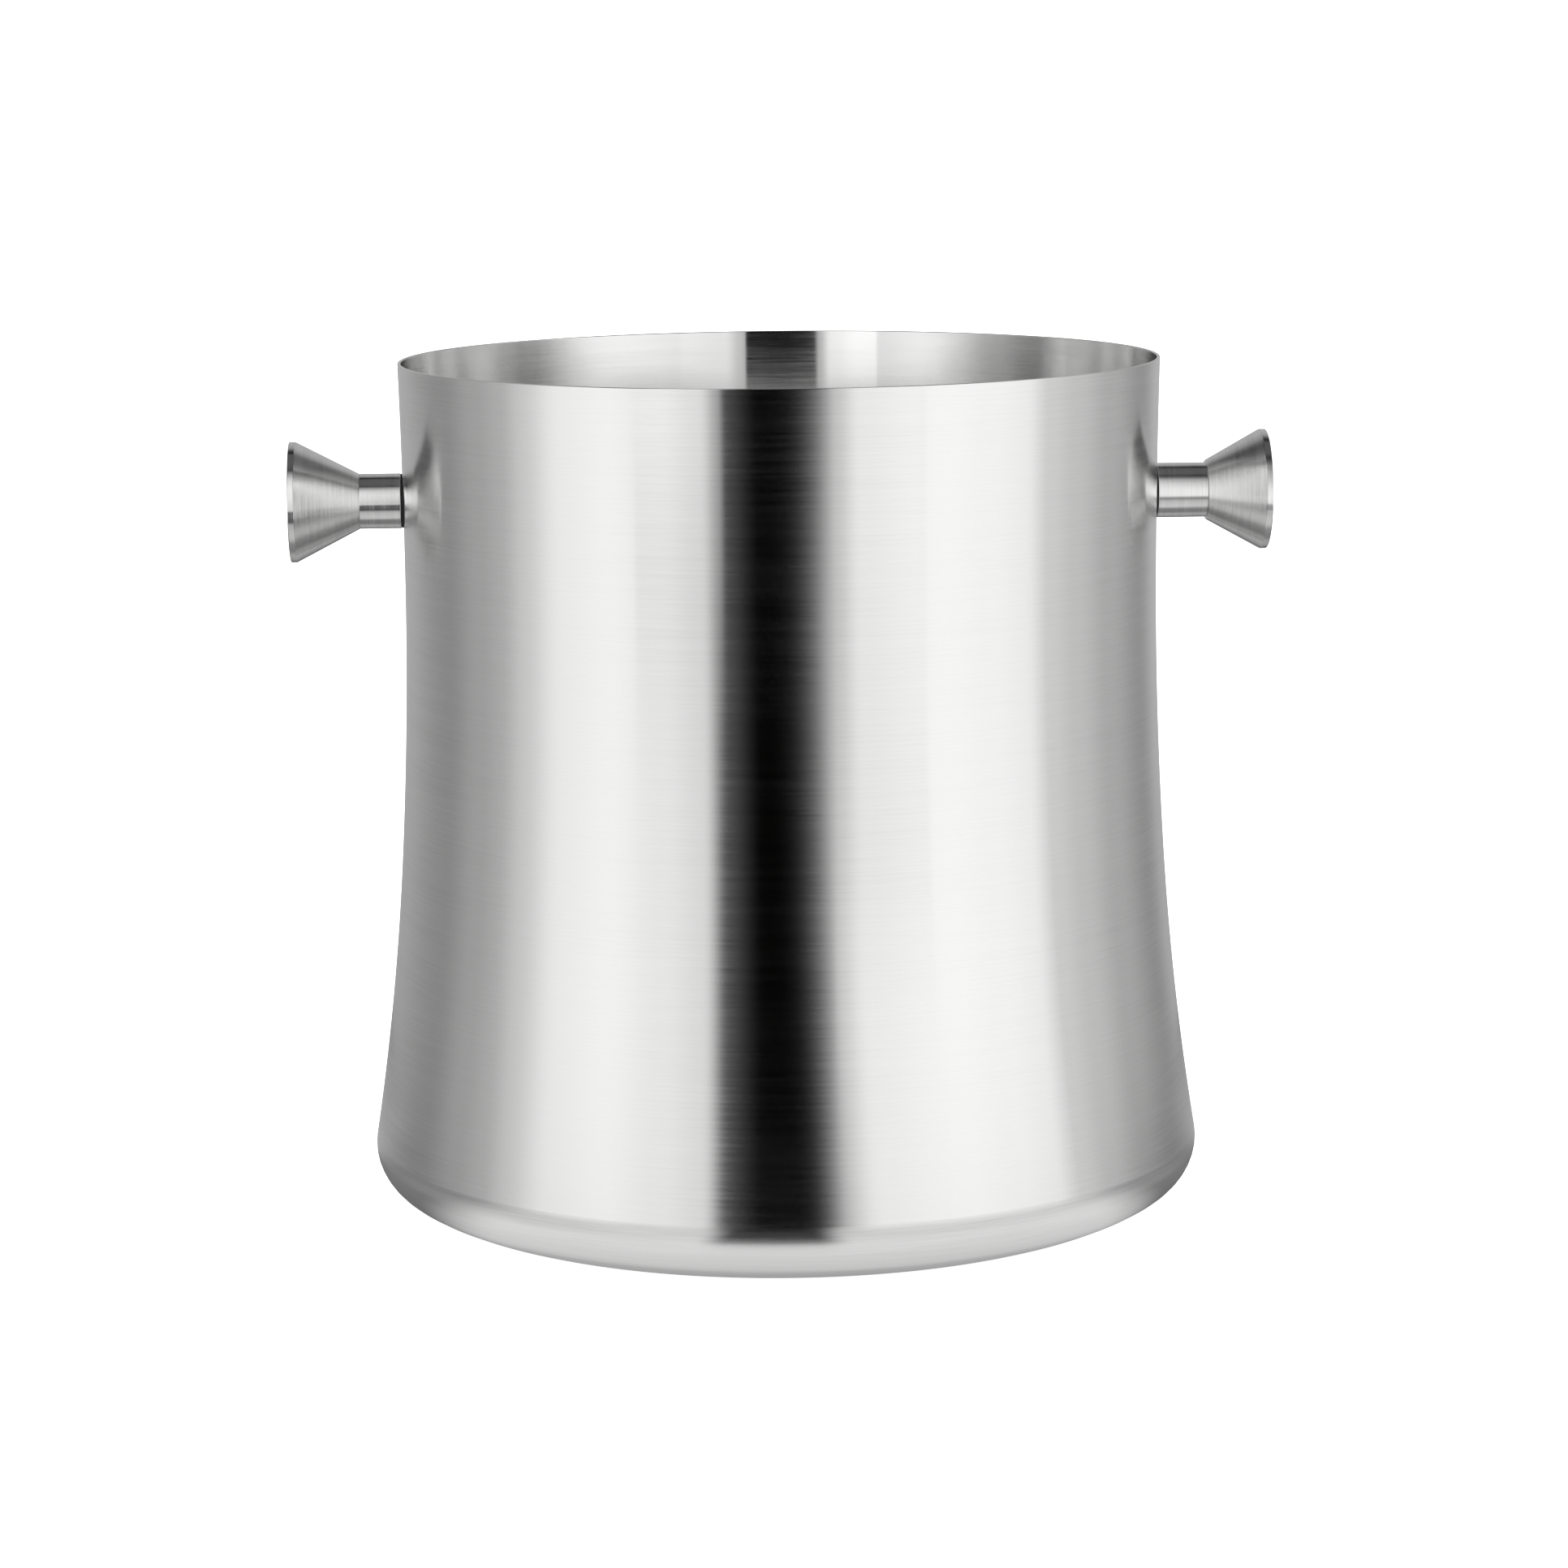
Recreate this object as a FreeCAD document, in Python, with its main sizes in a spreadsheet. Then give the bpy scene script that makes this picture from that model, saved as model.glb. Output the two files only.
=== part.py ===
"""Champagne bucket of brushed steel sheet, lifted by two turned knobs on its sides.

Millimetres, +Z up, origin at the centre of the base on the table. The knobs share one
axis along X, high on the wall. A knob is a cone head on a neck sleeve. A screw from inside
the bucket goes through the wall and the sleeve into the cone head and clamps them, with a
washer and a rubber seal inside the wall and another seal outside it.
"""
import FreeCAD, Part
import math
import os

import Sketcher

SIZES = [
    ("rim_radius", 100.0, "outer radius of the open rim"),
    ("bucket_height", 224.4, "rim above the table"),
    ("wall", 0.9, "sheet thickness"),
    ("rim_round", 0.2, "broken edges of the cut rim"),
    ("waist_height", 166.0, "height where the wall is narrowest"),
    ("flank_height", 90.4, "height where the wall's curve tightens"),
    ("flare_bend", 2055.0, "radius of the wall's hollow curve above the waist"),
    ("waist_bend", 1150.0, "radius of the wall's hollow curve under the waist"),
    ("flank_bend", 763.0, "radius of the wall's hollow curve down to the corner"),
    ("corner_bend", 12.9, "radius of the belly's round corner"),
    ("heel_bend", 31.0, "radius of the slow curve from the belly to the foot"),
    ("foot_radius", 87.3, "outer radius of the flat ring that the bucket stands on"),
    ("foot_width", 7.3, "width of that ring"),
    ("base_lift", 1.6, "height of the raised middle of the base"),
    ("base_bend", 7.0, "radius of the two bends up to the raised middle"),
    ("knob_height", 188.0, "height of the knob axis"),
    ("knob_reach", 128.9, "from the bucket's axis to a knob's outer face"),
    ("hole_radius", 3.2, "screw holes in the wall, seals, washers and sleeves"),
    ("cone_radius", 15.85, "largest radius of a cone head"),
    ("cone_land", 1.65, "straight edge at the cone's large end"),
    ("left_flank", 16.6, "length of the left head's slope"),
    ("right_flank", 14.3, "length of the right head's slope"),
    ("cone_edge", 0.25, "rounded edges of the cone's large end"),
    ("left_nose", 7.25, "small radius of the left cone head, level with its neck"),
    ("right_nose", 7.9, "small radius of the right cone head, a step above its neck"),
    ("tapped_radius", 3.0, "threaded hole in a cone head"),
    ("tapped_depth", 11.5, "full depth of that hole"),
    ("drill_tip", 1.7, "length of the hole's pointed end"),
    ("neck_radius", 7.25, "outer radius of a neck sleeve"),
    ("neck_edge", 0.2, "bevels at both ends of a sleeve"),
    ("seal_gap", 0.45, "outer seal between the wall and the sleeve"),
    ("seal_inset", 0.15, "how far the outer seal stays inside the sleeve's edge"),
    ("inner_seal", 1.0, "thickness of the inner seal at its middle"),
    ("washer_radius", 6.25, "outer radius of the washer and the inner seal"),
    ("washer_width", 1.6, "thickness of the washer"),
    ("washer_edge", 0.2, "bevels of the washer"),
    ("shank_radius", 2.95, "outer radius of the screw's thread"),
    ("shank_length", 25.0, "length of the screw under its head"),
    ("shank_point", 0.6, "bevel at the screw's end"),
    ("head_radius", 5.25, "radius of the screw's button head"),
    ("head_height", 3.3, "height of that head"),
    ("head_edge", 0.5, "straight edge under the head's dome"),
    ("dome_top", 3.0, "radius of the flat top of the dome"),
    ("dome_round", 1.2, "rounding of the dome's upper edge"),
    ("socket_radius", 2.31, "corner radius of the hexagon socket"),
    ("socket_depth", 2.0, "depth of the socket"),
]

SEAT = (
    "(Sizes.rim_radius"
    " + sqrt(Sizes.flare_bend ^ 2 - (Sizes.bucket_height - Sizes.rim_round - Sizes.waist_height) ^ 2)"
    " - sqrt(Sizes.flare_bend ^ 2 - (Sizes.knob_height - Sizes.waist_height) ^ 2))"
)
SIDES = {"left": -1, "right": 1}
START, END, CENTRE = 1, 2, 3
ORIGIN, LEVEL_AXIS, UPRIGHT_AXIS = -1, -1, -2
KNOB_PIECES = ["cone_head", "neck_sleeve", "outer_seal", "inner_seal", "washer", "screw"]
BASE_TURN = 27.0
OUTSIDE_STEPS = [
    ("base_bend", -BASE_TURN),
    ("base_bend", BASE_TURN),
    ("foot_width", 0.0),
    ("heel_bend", 33.0),
    ("corner_bend", 66.3),
    ("flank_bend", -5.5),
    ("waist_bend", -3.8),
    ("flare_bend", -1.6),
]


def make_sheet(doc):
    """Driving dimensions, one row each: name, value and meaning."""
    sheet = doc.addObject("Spreadsheet::Sheet", "Sizes")
    for row, (alias, value, meaning) in enumerate(SIZES, start=1):
        sheet.set("A%d" % row, alias)
        sheet.set("B%d" % row, str(value))
        sheet.set("C%d" % row, meaning)
        sheet.setAlias("B%d" % row, alias)
    doc.recompute()
    return sheet


def make_body(doc, label):
    """Empty body whose label names its node."""
    body = doc.addObject("PartDesign::Body", label)
    body.Label = label
    return body


def make_sketch(body, name, role):
    """Empty sketch on one of the body's own origin planes."""
    sketch = body.newObject("Sketcher::SketchObject", name)
    plane = next(item for item in body.Origin.OriginFeatures if item.Role == role)
    sketch.AttachmentSupport = (plane, "")
    sketch.MapMode = "FlatFace"
    return sketch


def bind(sketch, constraint, expression):
    """Add a dimension and tie it to the sheet."""
    index = sketch.addConstraint(constraint)
    sketch.setExpression("Constraints[%d]" % index, expression)


def join(sketch, first, first_end, second, second_end):
    """Make two points of a sketch one."""
    sketch.addConstraint(Sketcher.Constraint("Coincident", first, first_end, second, second_end))


def revolve(body, sketch, name):
    """Turn a closed sketch once round its upright axis."""
    turn = body.newObject("PartDesign::Revolution", name)
    turn.Profile = sketch
    turn.ReferenceAxis = (sketch, ["V_Axis"])
    turn.Angle = 360.0
    sketch.Visibility = False
    return turn


def value_of(body, expression):
    """Number that an expression over the sheet gives now, as a sketch's first guess."""
    return float(body.evalExpression(expression))


def turned_outline(body, name, corners):
    """Closed outline of straight runs, each corner a radius and a height over the sheet."""
    sketch = make_sketch(body, name, "XZ_Plane")
    places = []
    for radius, height in corners:
        x = value_of(body, radius)
        z = value_of(body, height)
        places.append(FreeCAD.Vector(x, z, 0))
    count = len(places)
    for number, place in enumerate(places):
        sketch.addGeometry(Part.LineSegment(place, places[(number + 1) % count]))
    for number, (radius, height) in enumerate(corners):
        join(sketch, number, END, (number + 1) % count, START)
        across = Sketcher.Constraint("DistanceX", ORIGIN, START, number, START, places[number].x)
        upward = Sketcher.Constraint("DistanceY", ORIGIN, START, number, START, places[number].y)
        bind(sketch, across, radius)
        bind(sketch, upward, height)
    return sketch


def follow(sketch, place, heading, steps):
    """Chain of tangent straight runs and arcs; a step is a length or radius, and a left turn."""
    chain = []
    for size, turn in steps:
        ahead = FreeCAD.Vector(math.cos(math.radians(heading)), math.sin(math.radians(heading)), 0)
        start, end = (START, END) if turn >= 0 else (END, START)
        if turn:
            before = math.radians(heading) - math.copysign(math.pi / 2, turn)
            after = before + math.radians(turn)
            centre = place - FreeCAD.Vector(math.cos(before), math.sin(before), 0) * size
            place = centre + FreeCAD.Vector(math.cos(after), math.sin(after), 0) * size
            circle = Part.Circle(centre, FreeCAD.Vector(0, 0, 1), size)
            shape = Part.ArcOfCircle(circle, min(before, after), max(before, after))
        else:
            shape = Part.LineSegment(place, place + ahead * size)
            place = place + ahead * size
        number = sketch.addGeometry(shape)
        if chain:
            last, _, last_end = chain[-1]
            sketch.addConstraint(Sketcher.Constraint("Tangent", last, last_end, number, start))
        chain.append((number, start, end))
        heading += turn
    return chain


def bucket_section(body, sheet):
    """Half section of the sheet, out along its underside, up to the rim and back inside."""
    sketch = make_sketch(body, "section", "XZ_Plane")
    base_step = 2 * sheet.base_bend * math.sin(math.radians(BASE_TURN))
    floor_run = sheet.foot_radius - sheet.foot_width - base_step
    outside = [(floor_run, 0.0)]
    inside = [(floor_run, 0.0)]
    for alias, turn in OUTSIDE_STEPS:
        size = getattr(sheet, alias)
        outside.append((size, turn))
        inside.append((size - math.copysign(sheet.wall, turn) if turn else size, -turn))
    lean = sum(turn for _, turn in OUTSIDE_STEPS)
    rim = [
        (sheet.rim_round, 180.0 - lean),
        (sheet.wall - 2 * sheet.rim_round, 0.0),
        (sheet.rim_round, lean),
    ]
    start = FreeCAD.Vector(0, sheet.base_lift, 0)
    chain = follow(sketch, start, 0.0, outside + rim + inside[::-1])
    top = FreeCAD.Vector(0, sheet.base_lift + sheet.wall, 0)
    axis = sketch.addGeometry(Part.LineSegment(top, start))
    join(sketch, chain[-1][0], chain[-1][2], axis, START)
    join(sketch, axis, END, chain[0][0], chain[0][1])
    dimension_section(sketch, sheet, [number for number, _, _ in chain], axis)
    return sketch


def dimension_section(sketch, sheet, numbers, axis):
    """Tie the section to the sheet; the inside follows the outside at one sheet thickness."""
    count = len(OUTSIDE_STEPS) + 1
    floor, foot = numbers[0], numbers[3]
    flank, waist, flare = numbers[6:9]
    first_round, lip, second_round = numbers[count:count + 3]
    inner_floor, inner_foot = numbers[-1], numbers[-4]
    for line in (floor, foot, lip, inner_floor, inner_foot):
        sketch.addConstraint(Sketcher.Constraint("Horizontal", line))
    for end in (START, END):
        sketch.addConstraint(Sketcher.Constraint("PointOnObject", axis, end, UPRIGHT_AXIS))
    sketch.addConstraint(Sketcher.Constraint("PointOnObject", foot, START, LEVEL_AXIS))
    for position, (alias, turn) in enumerate(OUTSIDE_STEPS, start=1):
        if turn:
            outer, inner = numbers[position], numbers[-1 - position]
            join(sketch, outer, CENTRE, inner, CENTRE)
            bend = Sketcher.Constraint("Radius", outer, getattr(sheet, alias))
            bind(sketch, bend, "Sizes." + alias)
    for number in (first_round, second_round):
        bind(sketch, Sketcher.Constraint("Radius", number, sheet.rim_round), "Sizes.rim_round")
    width = Sketcher.Constraint("DistanceX", foot, START, foot, END, sheet.foot_width)
    bind(sketch, width, "Sizes.foot_width")
    levels = [
        ("DistanceX", foot, END, "foot_radius"),
        ("DistanceY", floor, START, "base_lift"),
        ("DistanceY", inner_foot, START, "wall"),
        ("DistanceY", flank, START, "flank_height"),
        ("DistanceY", waist, START, "waist_height"),
        ("DistanceY", waist, CENTRE, "waist_height"),
        ("DistanceX", flare, START, "rim_radius"),
        ("DistanceY", lip, START, "bucket_height"),
    ]
    for kind, number, point, alias in levels:
        size = Sketcher.Constraint(kind, ORIGIN, START, number, point, getattr(sheet, alias))
        bind(sketch, size, "Sizes." + alias)


def make_bucket_shell(doc, sheet):
    """One sheet of steel, drawn to shape, with a round hole for each knob's screw."""
    body = make_body(doc, "bucket_shell")
    drawn = revolve(body, bucket_section(body, sheet), "drawn")
    doc.recompute()
    sketch = make_sketch(body, "screw_hole", "YZ_Plane")
    centre = FreeCAD.Vector(0, sheet.knob_height, 0)
    hole = sketch.addGeometry(Part.Circle(centre, FreeCAD.Vector(0, 0, 1), sheet.hole_radius))
    sketch.addConstraint(Sketcher.Constraint("PointOnObject", hole, CENTRE, UPRIGHT_AXIS))
    bind(sketch, Sketcher.Constraint("Radius", hole, sheet.hole_radius), "Sizes.hole_radius")
    level = Sketcher.Constraint("DistanceY", ORIGIN, START, hole, CENTRE, sheet.knob_height)
    bind(sketch, level, "Sizes.knob_height")
    holes = body.newObject("PartDesign::Pocket", "screw_holes")
    holes.Profile = sketch
    holes.Type = 1
    holes.Midplane = True
    sketch.Visibility = False
    doc.recompute()
    drilled = drawn.Shape.Volume - holes.Shape.Volume
    expected = 2 * math.pi * sheet.hole_radius ** 2 * sheet.wall
    if abs(drilled - expected) > 0.05 * expected:
        raise RuntimeError("screw holes took %.2f mm3, not %.2f" % (drilled, expected))
    return body


def neck_length(side):
    """What the seal, the flank and the land leave of the reach beyond the wall."""
    return "(Sizes.knob_reach - %s - Sizes.seal_gap - Sizes.cone_land - Sizes.%s_flank)" % (SEAT, side)


def set_outward(piece, side, offset):
    """Turn a piece's +Z outward along X and set its base an offset beyond the wall."""
    turned = FreeCAD.Rotation(FreeCAD.Vector(0, 1, 0), 90 * SIDES[side])
    piece.Placement = FreeCAD.Placement(FreeCAD.Vector(0, 0, 0), turned)
    piece.setExpression("Placement.Base.x", "%d * (%s + %s)" % (SIDES[side], SEAT, offset))
    piece.setExpression("Placement.Base.z", "Sizes.knob_height")


def edges_with_radius(shape, radius):
    """Names of the circles of one radius on a turned piece."""
    names = []
    for number, edge in enumerate(shape.Edges, start=1):
        if isinstance(edge.Curve, Part.Circle) and abs(edge.Curve.Radius - radius) < 1e-6:
            names.append("Edge%d" % number)
    return names


def make_cone_head(doc, sheet, side):
    """Solid cone with a straight edge at its large end and a blind threaded hole."""
    body = make_body(doc, side + "_cone_head")
    flank = "Sizes.%s_flank" % side
    end = flank + " + Sizes.cone_land"
    corners = [
        ("Sizes.tapped_radius", "0"),
        ("Sizes.%s_nose" % side, "0"),
        ("Sizes.cone_radius", flank),
        ("Sizes.cone_radius", end),
        ("0", end),
        ("0", "Sizes.tapped_depth + Sizes.drill_tip"),
        ("Sizes.tapped_radius", "Sizes.tapped_depth"),
    ]
    turned = revolve(body, turned_outline(body, "outline", corners), "turned")
    doc.recompute()
    rounded = body.newObject("PartDesign::Fillet", "edges")
    rounded.Base = (turned, edges_with_radius(turned.Shape, sheet.cone_radius))
    rounded.setExpression("Radius", "Sizes.cone_edge")
    set_outward(body, side, "Sizes.seal_gap + " + neck_length(side))


def make_neck_sleeve(doc, sheet, side):
    """Plain tube between the wall and the cone head."""
    body = make_body(doc, side + "_neck_sleeve")
    corners = [
        ("Sizes.hole_radius", "0"),
        ("Sizes.neck_radius", "0"),
        ("Sizes.neck_radius", neck_length(side)),
        ("Sizes.hole_radius", neck_length(side)),
    ]
    tube = revolve(body, turned_outline(body, "outline", corners), "tube")
    doc.recompute()
    bevels = body.newObject("PartDesign::Chamfer", "bevels")
    bevels.Base = (tube, edges_with_radius(tube.Shape, sheet.neck_radius))
    bevels.setExpression("Size", "Sizes.neck_edge")
    set_outward(body, side, "Sizes.seal_gap")


def make_seal(doc, shell, label, side, radius, bottom, top):
    """Rubber ring whose one face takes the shape of the wall that it is pressed on."""
    blank = make_body(doc, label + "_blank")
    corners = [
        ("Sizes.hole_radius", bottom),
        (radius, bottom),
        (radius, top),
        ("Sizes.hole_radius", top),
    ]
    revolve(blank, turned_outline(blank, "outline", corners), "ring")
    set_outward(blank, side, "0")
    seal = doc.addObject("Part::Cut", label)
    seal.Label = label
    seal.Base = blank
    seal.Tool = shell


def make_washer(doc, sheet, side):
    """Flat washer between the inner seal and the screw's head."""
    body = make_body(doc, side + "_washer")
    corners = [
        ("Sizes.hole_radius", "0"),
        ("Sizes.washer_radius", "0"),
        ("Sizes.washer_radius", "Sizes.washer_width"),
        ("Sizes.hole_radius", "Sizes.washer_width"),
    ]
    disc = revolve(body, turned_outline(body, "outline", corners), "disc")
    doc.recompute()
    bevels = body.newObject("PartDesign::Chamfer", "bevels")
    bevels.Base = (disc, edges_with_radius(disc.Shape, sheet.washer_radius))
    bevels.setExpression("Size", "Sizes.washer_edge")
    set_outward(body, side, "(-Sizes.wall - Sizes.inner_seal - Sizes.washer_width)")


def make_screw(doc, sheet, side):
    """Button head screw with a hexagon socket, its thread left plain."""
    body = make_body(doc, side + "_screw")
    corners = [
        ("0", "-Sizes.head_height"),
        ("Sizes.dome_top", "-Sizes.head_height"),
        ("Sizes.head_radius", "-Sizes.head_edge"),
        ("Sizes.head_radius", "0"),
        ("Sizes.shank_radius", "0"),
        ("Sizes.shank_radius", "Sizes.shank_length - Sizes.shank_point"),
        ("Sizes.shank_radius - Sizes.shank_point", "Sizes.shank_length"),
        ("0", "Sizes.shank_length"),
    ]
    blank = revolve(body, turned_outline(body, "outline", corners), "blank")
    doc.recompute()
    dome = body.newObject("PartDesign::Fillet", "dome")
    dome.Base = (blank, edges_with_radius(blank.Shape, sheet.dome_top))
    dome.setExpression("Radius", "Sizes.dome_round")
    doc.recompute()
    socket = body.newObject("PartDesign::Pocket", "socket")
    socket.Profile = hexagon(body, sheet.socket_radius)
    socket.Reversed = True
    socket.setExpression("Length", "Sizes.socket_depth")
    doc.recompute()
    cut = dome.Shape.Volume - socket.Shape.Volume
    expected = 1.5 * math.sqrt(3) * sheet.socket_radius ** 2 * sheet.socket_depth
    if abs(cut - expected) > 0.02 * expected:
        raise RuntimeError("the socket took %.2f mm3, not %.2f" % (cut, expected))
    set_outward(body, side, "(-Sizes.wall - Sizes.inner_seal - Sizes.washer_width)")


def hexagon(body, radius):
    """Hexagon sketch on the level of the screw head's top, its corners on a circle."""
    sketch = make_sketch(body, "hexagon", "XY_Plane")
    sketch.setExpression("AttachmentOffset.Base.z", "-Sizes.head_height")
    corners = []
    for number in range(6):
        angle = math.radians(60 * number)
        corners.append(FreeCAD.Vector(radius * math.cos(angle), radius * math.sin(angle), 0))
    circle = Part.Circle(FreeCAD.Vector(0, 0, 0), FreeCAD.Vector(0, 0, 1), radius)
    for number in range(6):
        sketch.addGeometry(Part.LineSegment(corners[number], corners[(number + 1) % 6]))
    around = sketch.addGeometry(circle, True)
    join(sketch, around, CENTRE, ORIGIN, START)
    sketch.addConstraint(Sketcher.Constraint("PointOnObject", 0, START, LEVEL_AXIS))
    bind(sketch, Sketcher.Constraint("Radius", around, radius), "Sizes.socket_radius")
    for number in range(6):
        join(sketch, number, END, (number + 1) % 6, START)
        sketch.addConstraint(Sketcher.Constraint("PointOnObject", number, START, around))
    for number in range(5):
        sketch.addConstraint(Sketcher.Constraint("Equal", number, number + 1))
    return sketch


def make_knob(doc, sheet, shell, side):
    """All six pieces of the knob on one side."""
    make_cone_head(doc, sheet, side)
    make_neck_sleeve(doc, sheet, side)
    bedded = "(-Sizes.wall * 2 / 3)"
    outer_radius = "Sizes.neck_radius - Sizes.seal_inset"
    make_seal(doc, shell, side + "_outer_seal", side, outer_radius, bedded, "Sizes.seal_gap")
    inner_face = "(-Sizes.wall - Sizes.inner_seal)"
    make_seal(doc, shell, side + "_inner_seal", side, "Sizes.washer_radius", inner_face, bedded)
    make_washer(doc, sheet, side)
    make_screw(doc, sheet, side)
    return [side + "_" + name for name in KNOB_PIECES]


def check_and_write(doc, labels):
    """Stop on any failed object or bad shape, then write one file for each piece."""
    for item in doc.Objects:
        if "Invalid" in item.State or "Error" in item.State:
            raise RuntimeError("%s failed: %s" % (item.Label, item.State))
    os.makedirs("parts", exist_ok=True)
    for label in labels:
        piece = doc.getObjectsByLabel(label)[0]
        shape = piece.Shape
        if shape.isNull() or not shape.isValid() or len(shape.Solids) != 1:
            raise RuntimeError(label + " is not one valid solid")
        shape.exportStep("parts/%s.step" % label)
        print("%-22s %9.1f mm3" % (label, shape.Volume))


def main():
    doc = FreeCAD.newDocument("champagne_bucket")
    sheet = make_sheet(doc)
    shell = make_bucket_shell(doc, sheet)
    labels = ["bucket_shell"]
    for side in SIDES:
        labels += make_knob(doc, sheet, shell, side)
    doc.recompute()
    check_and_write(doc, labels)


main()
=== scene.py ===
"""A steel champagne bucket with two cone knobs, laid out as an add-on and run as a script.

The bucket's wall is one turned section, and so is each part of a knob. All sizes are in metres and
are kept in property groups, with millimetres written as a number times MM.
"""

import math

import bpy
from mathutils import Matrix, Vector
from mathutils.geometry import intersect_sphere_sphere_2d


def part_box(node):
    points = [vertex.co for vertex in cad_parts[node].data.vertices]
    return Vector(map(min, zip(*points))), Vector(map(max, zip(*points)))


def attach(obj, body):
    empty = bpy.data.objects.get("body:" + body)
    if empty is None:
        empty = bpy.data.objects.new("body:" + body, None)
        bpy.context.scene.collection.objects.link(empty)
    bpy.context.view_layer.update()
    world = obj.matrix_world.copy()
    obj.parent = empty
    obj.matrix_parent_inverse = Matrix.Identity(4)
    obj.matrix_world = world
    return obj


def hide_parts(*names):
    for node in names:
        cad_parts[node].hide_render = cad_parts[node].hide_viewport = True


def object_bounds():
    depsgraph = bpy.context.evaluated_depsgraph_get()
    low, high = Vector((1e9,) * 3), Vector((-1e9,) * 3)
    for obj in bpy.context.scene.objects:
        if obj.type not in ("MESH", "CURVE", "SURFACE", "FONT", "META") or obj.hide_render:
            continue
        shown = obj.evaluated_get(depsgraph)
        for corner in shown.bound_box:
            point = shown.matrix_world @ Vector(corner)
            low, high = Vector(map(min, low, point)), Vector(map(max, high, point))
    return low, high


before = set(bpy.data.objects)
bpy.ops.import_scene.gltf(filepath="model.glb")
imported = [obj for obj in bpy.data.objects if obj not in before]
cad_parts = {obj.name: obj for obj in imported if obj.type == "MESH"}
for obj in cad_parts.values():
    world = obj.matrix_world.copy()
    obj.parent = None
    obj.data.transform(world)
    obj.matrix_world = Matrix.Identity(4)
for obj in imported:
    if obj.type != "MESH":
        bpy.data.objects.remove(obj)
CAD_LOW, CAD_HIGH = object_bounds()

bl_info = {
    "name": "Champagne Bucket",
    "version": (1, 0, 0),
    "blender": (4, 5, 0),
    "location": "3D View > Sidebar > Bucket",
    "description": "Builds a brushed steel champagne bucket with two cone knobs, and its studio",
    "category": "Add Mesh",
}

MM = 0.001
SIDES = {"left": -1, "right": 1}
UV_NAME = "UVMap"
FULL_TURN = 2 * math.pi
QUARTER_TURN = math.pi / 2

# Points closer than the weld distance become one. An arc has a point at least once in each sharpest
# step. A long step of a section line has a point a guard's length from each of its ends, which keeps
# the smooth shading of a corner out of the straight stretch beside it.
WELD_DISTANCE = 0.001 * MM
SHARPEST_STEP = math.radians(9)
GUARD = 0.15 * MM


# ---------------------------------------------------------------- sizes and finishes


def length(name, description, default):
    """A size that the sidebar shows as a length."""
    return bpy.props.FloatProperty(
        name=name, description=description, default=default, precision=5, unit="LENGTH"
    )


def angle(name, description, degrees):
    """A direction or a turn that the sidebar shows in degrees."""
    return bpy.props.FloatProperty(
        name=name, description=description, default=math.radians(degrees), subtype="ANGLE"
    )


def share(name, description, default):
    """A number from 0 to 1."""
    return bpy.props.FloatProperty(
        name=name, description=description, default=default, min=0, max=1, subtype="FACTOR"
    )


def colour(name, description, default):
    """A colour in linear light."""
    return bpy.props.FloatVectorProperty(
        name=name, description=description, default=default, size=3, min=0, max=1, subtype="COLOR"
    )


def number(name, description, default):
    """A plain number."""
    return bpy.props.FloatProperty(name=name, description=description, default=default)


def count(name, description, default):
    """A whole number."""
    return bpy.props.IntProperty(name=name, description=description, default=default, min=3)


class BucketSizes(bpy.types.PropertyGroup):
    """Driving sizes of the bucket's wall, from the floor up."""

    height: length("Height", "Floor to the top of the rim", CAD_HIGH.z)
    rim_radius: length("Rim Radius", "Outside radius just under the rim", 100 * MM)
    wall: length("Wall", "Thickness of the sheet", 0.9 * MM)
    rim_round: length("Rim Round", "Rounding of the rim's two edges", 0.2 * MM)
    waist_height: length("Waist Height", "Height where the wall is narrowest", 166 * MM)
    flank_height: length("Flank Height", "Height where the wall starts to swell faster", 90.4 * MM)
    flare_bend: length("Flare Bend", "Radius of the wall's line above the waist", 2055 * MM)
    waist_bend: length("Waist Bend", "Radius of the wall's line below the waist", 1150 * MM)
    flank_bend: length("Flank Bend", "Radius of the wall's line above the corner", 763 * MM)
    corner_bend: length("Corner Bend", "Radius of the corner at the widest level", 12.9 * MM)
    heel_bend: length("Heel Bend", "Radius of the curve from the corner to the foot", 31 * MM)
    foot_radius: length("Foot Radius", "Outside radius of the ring that the bucket stands on", 87.3 * MM)
    foot_width: length("Foot Width", "Width of the ring that the bucket stands on", 7.3 * MM)
    base_lift: length("Base Lift", "Height of the middle of the base above the floor", 1.6 * MM)
    base_bend: length("Base Bend", "Radius of the two bends between the foot and the base", 7 * MM)
    hole_radius: length("Hole Radius", "Radius of the screw holes in the wall", 3.2 * MM)
    segments: count("Segments", "Faces round the bucket", 320)


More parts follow.
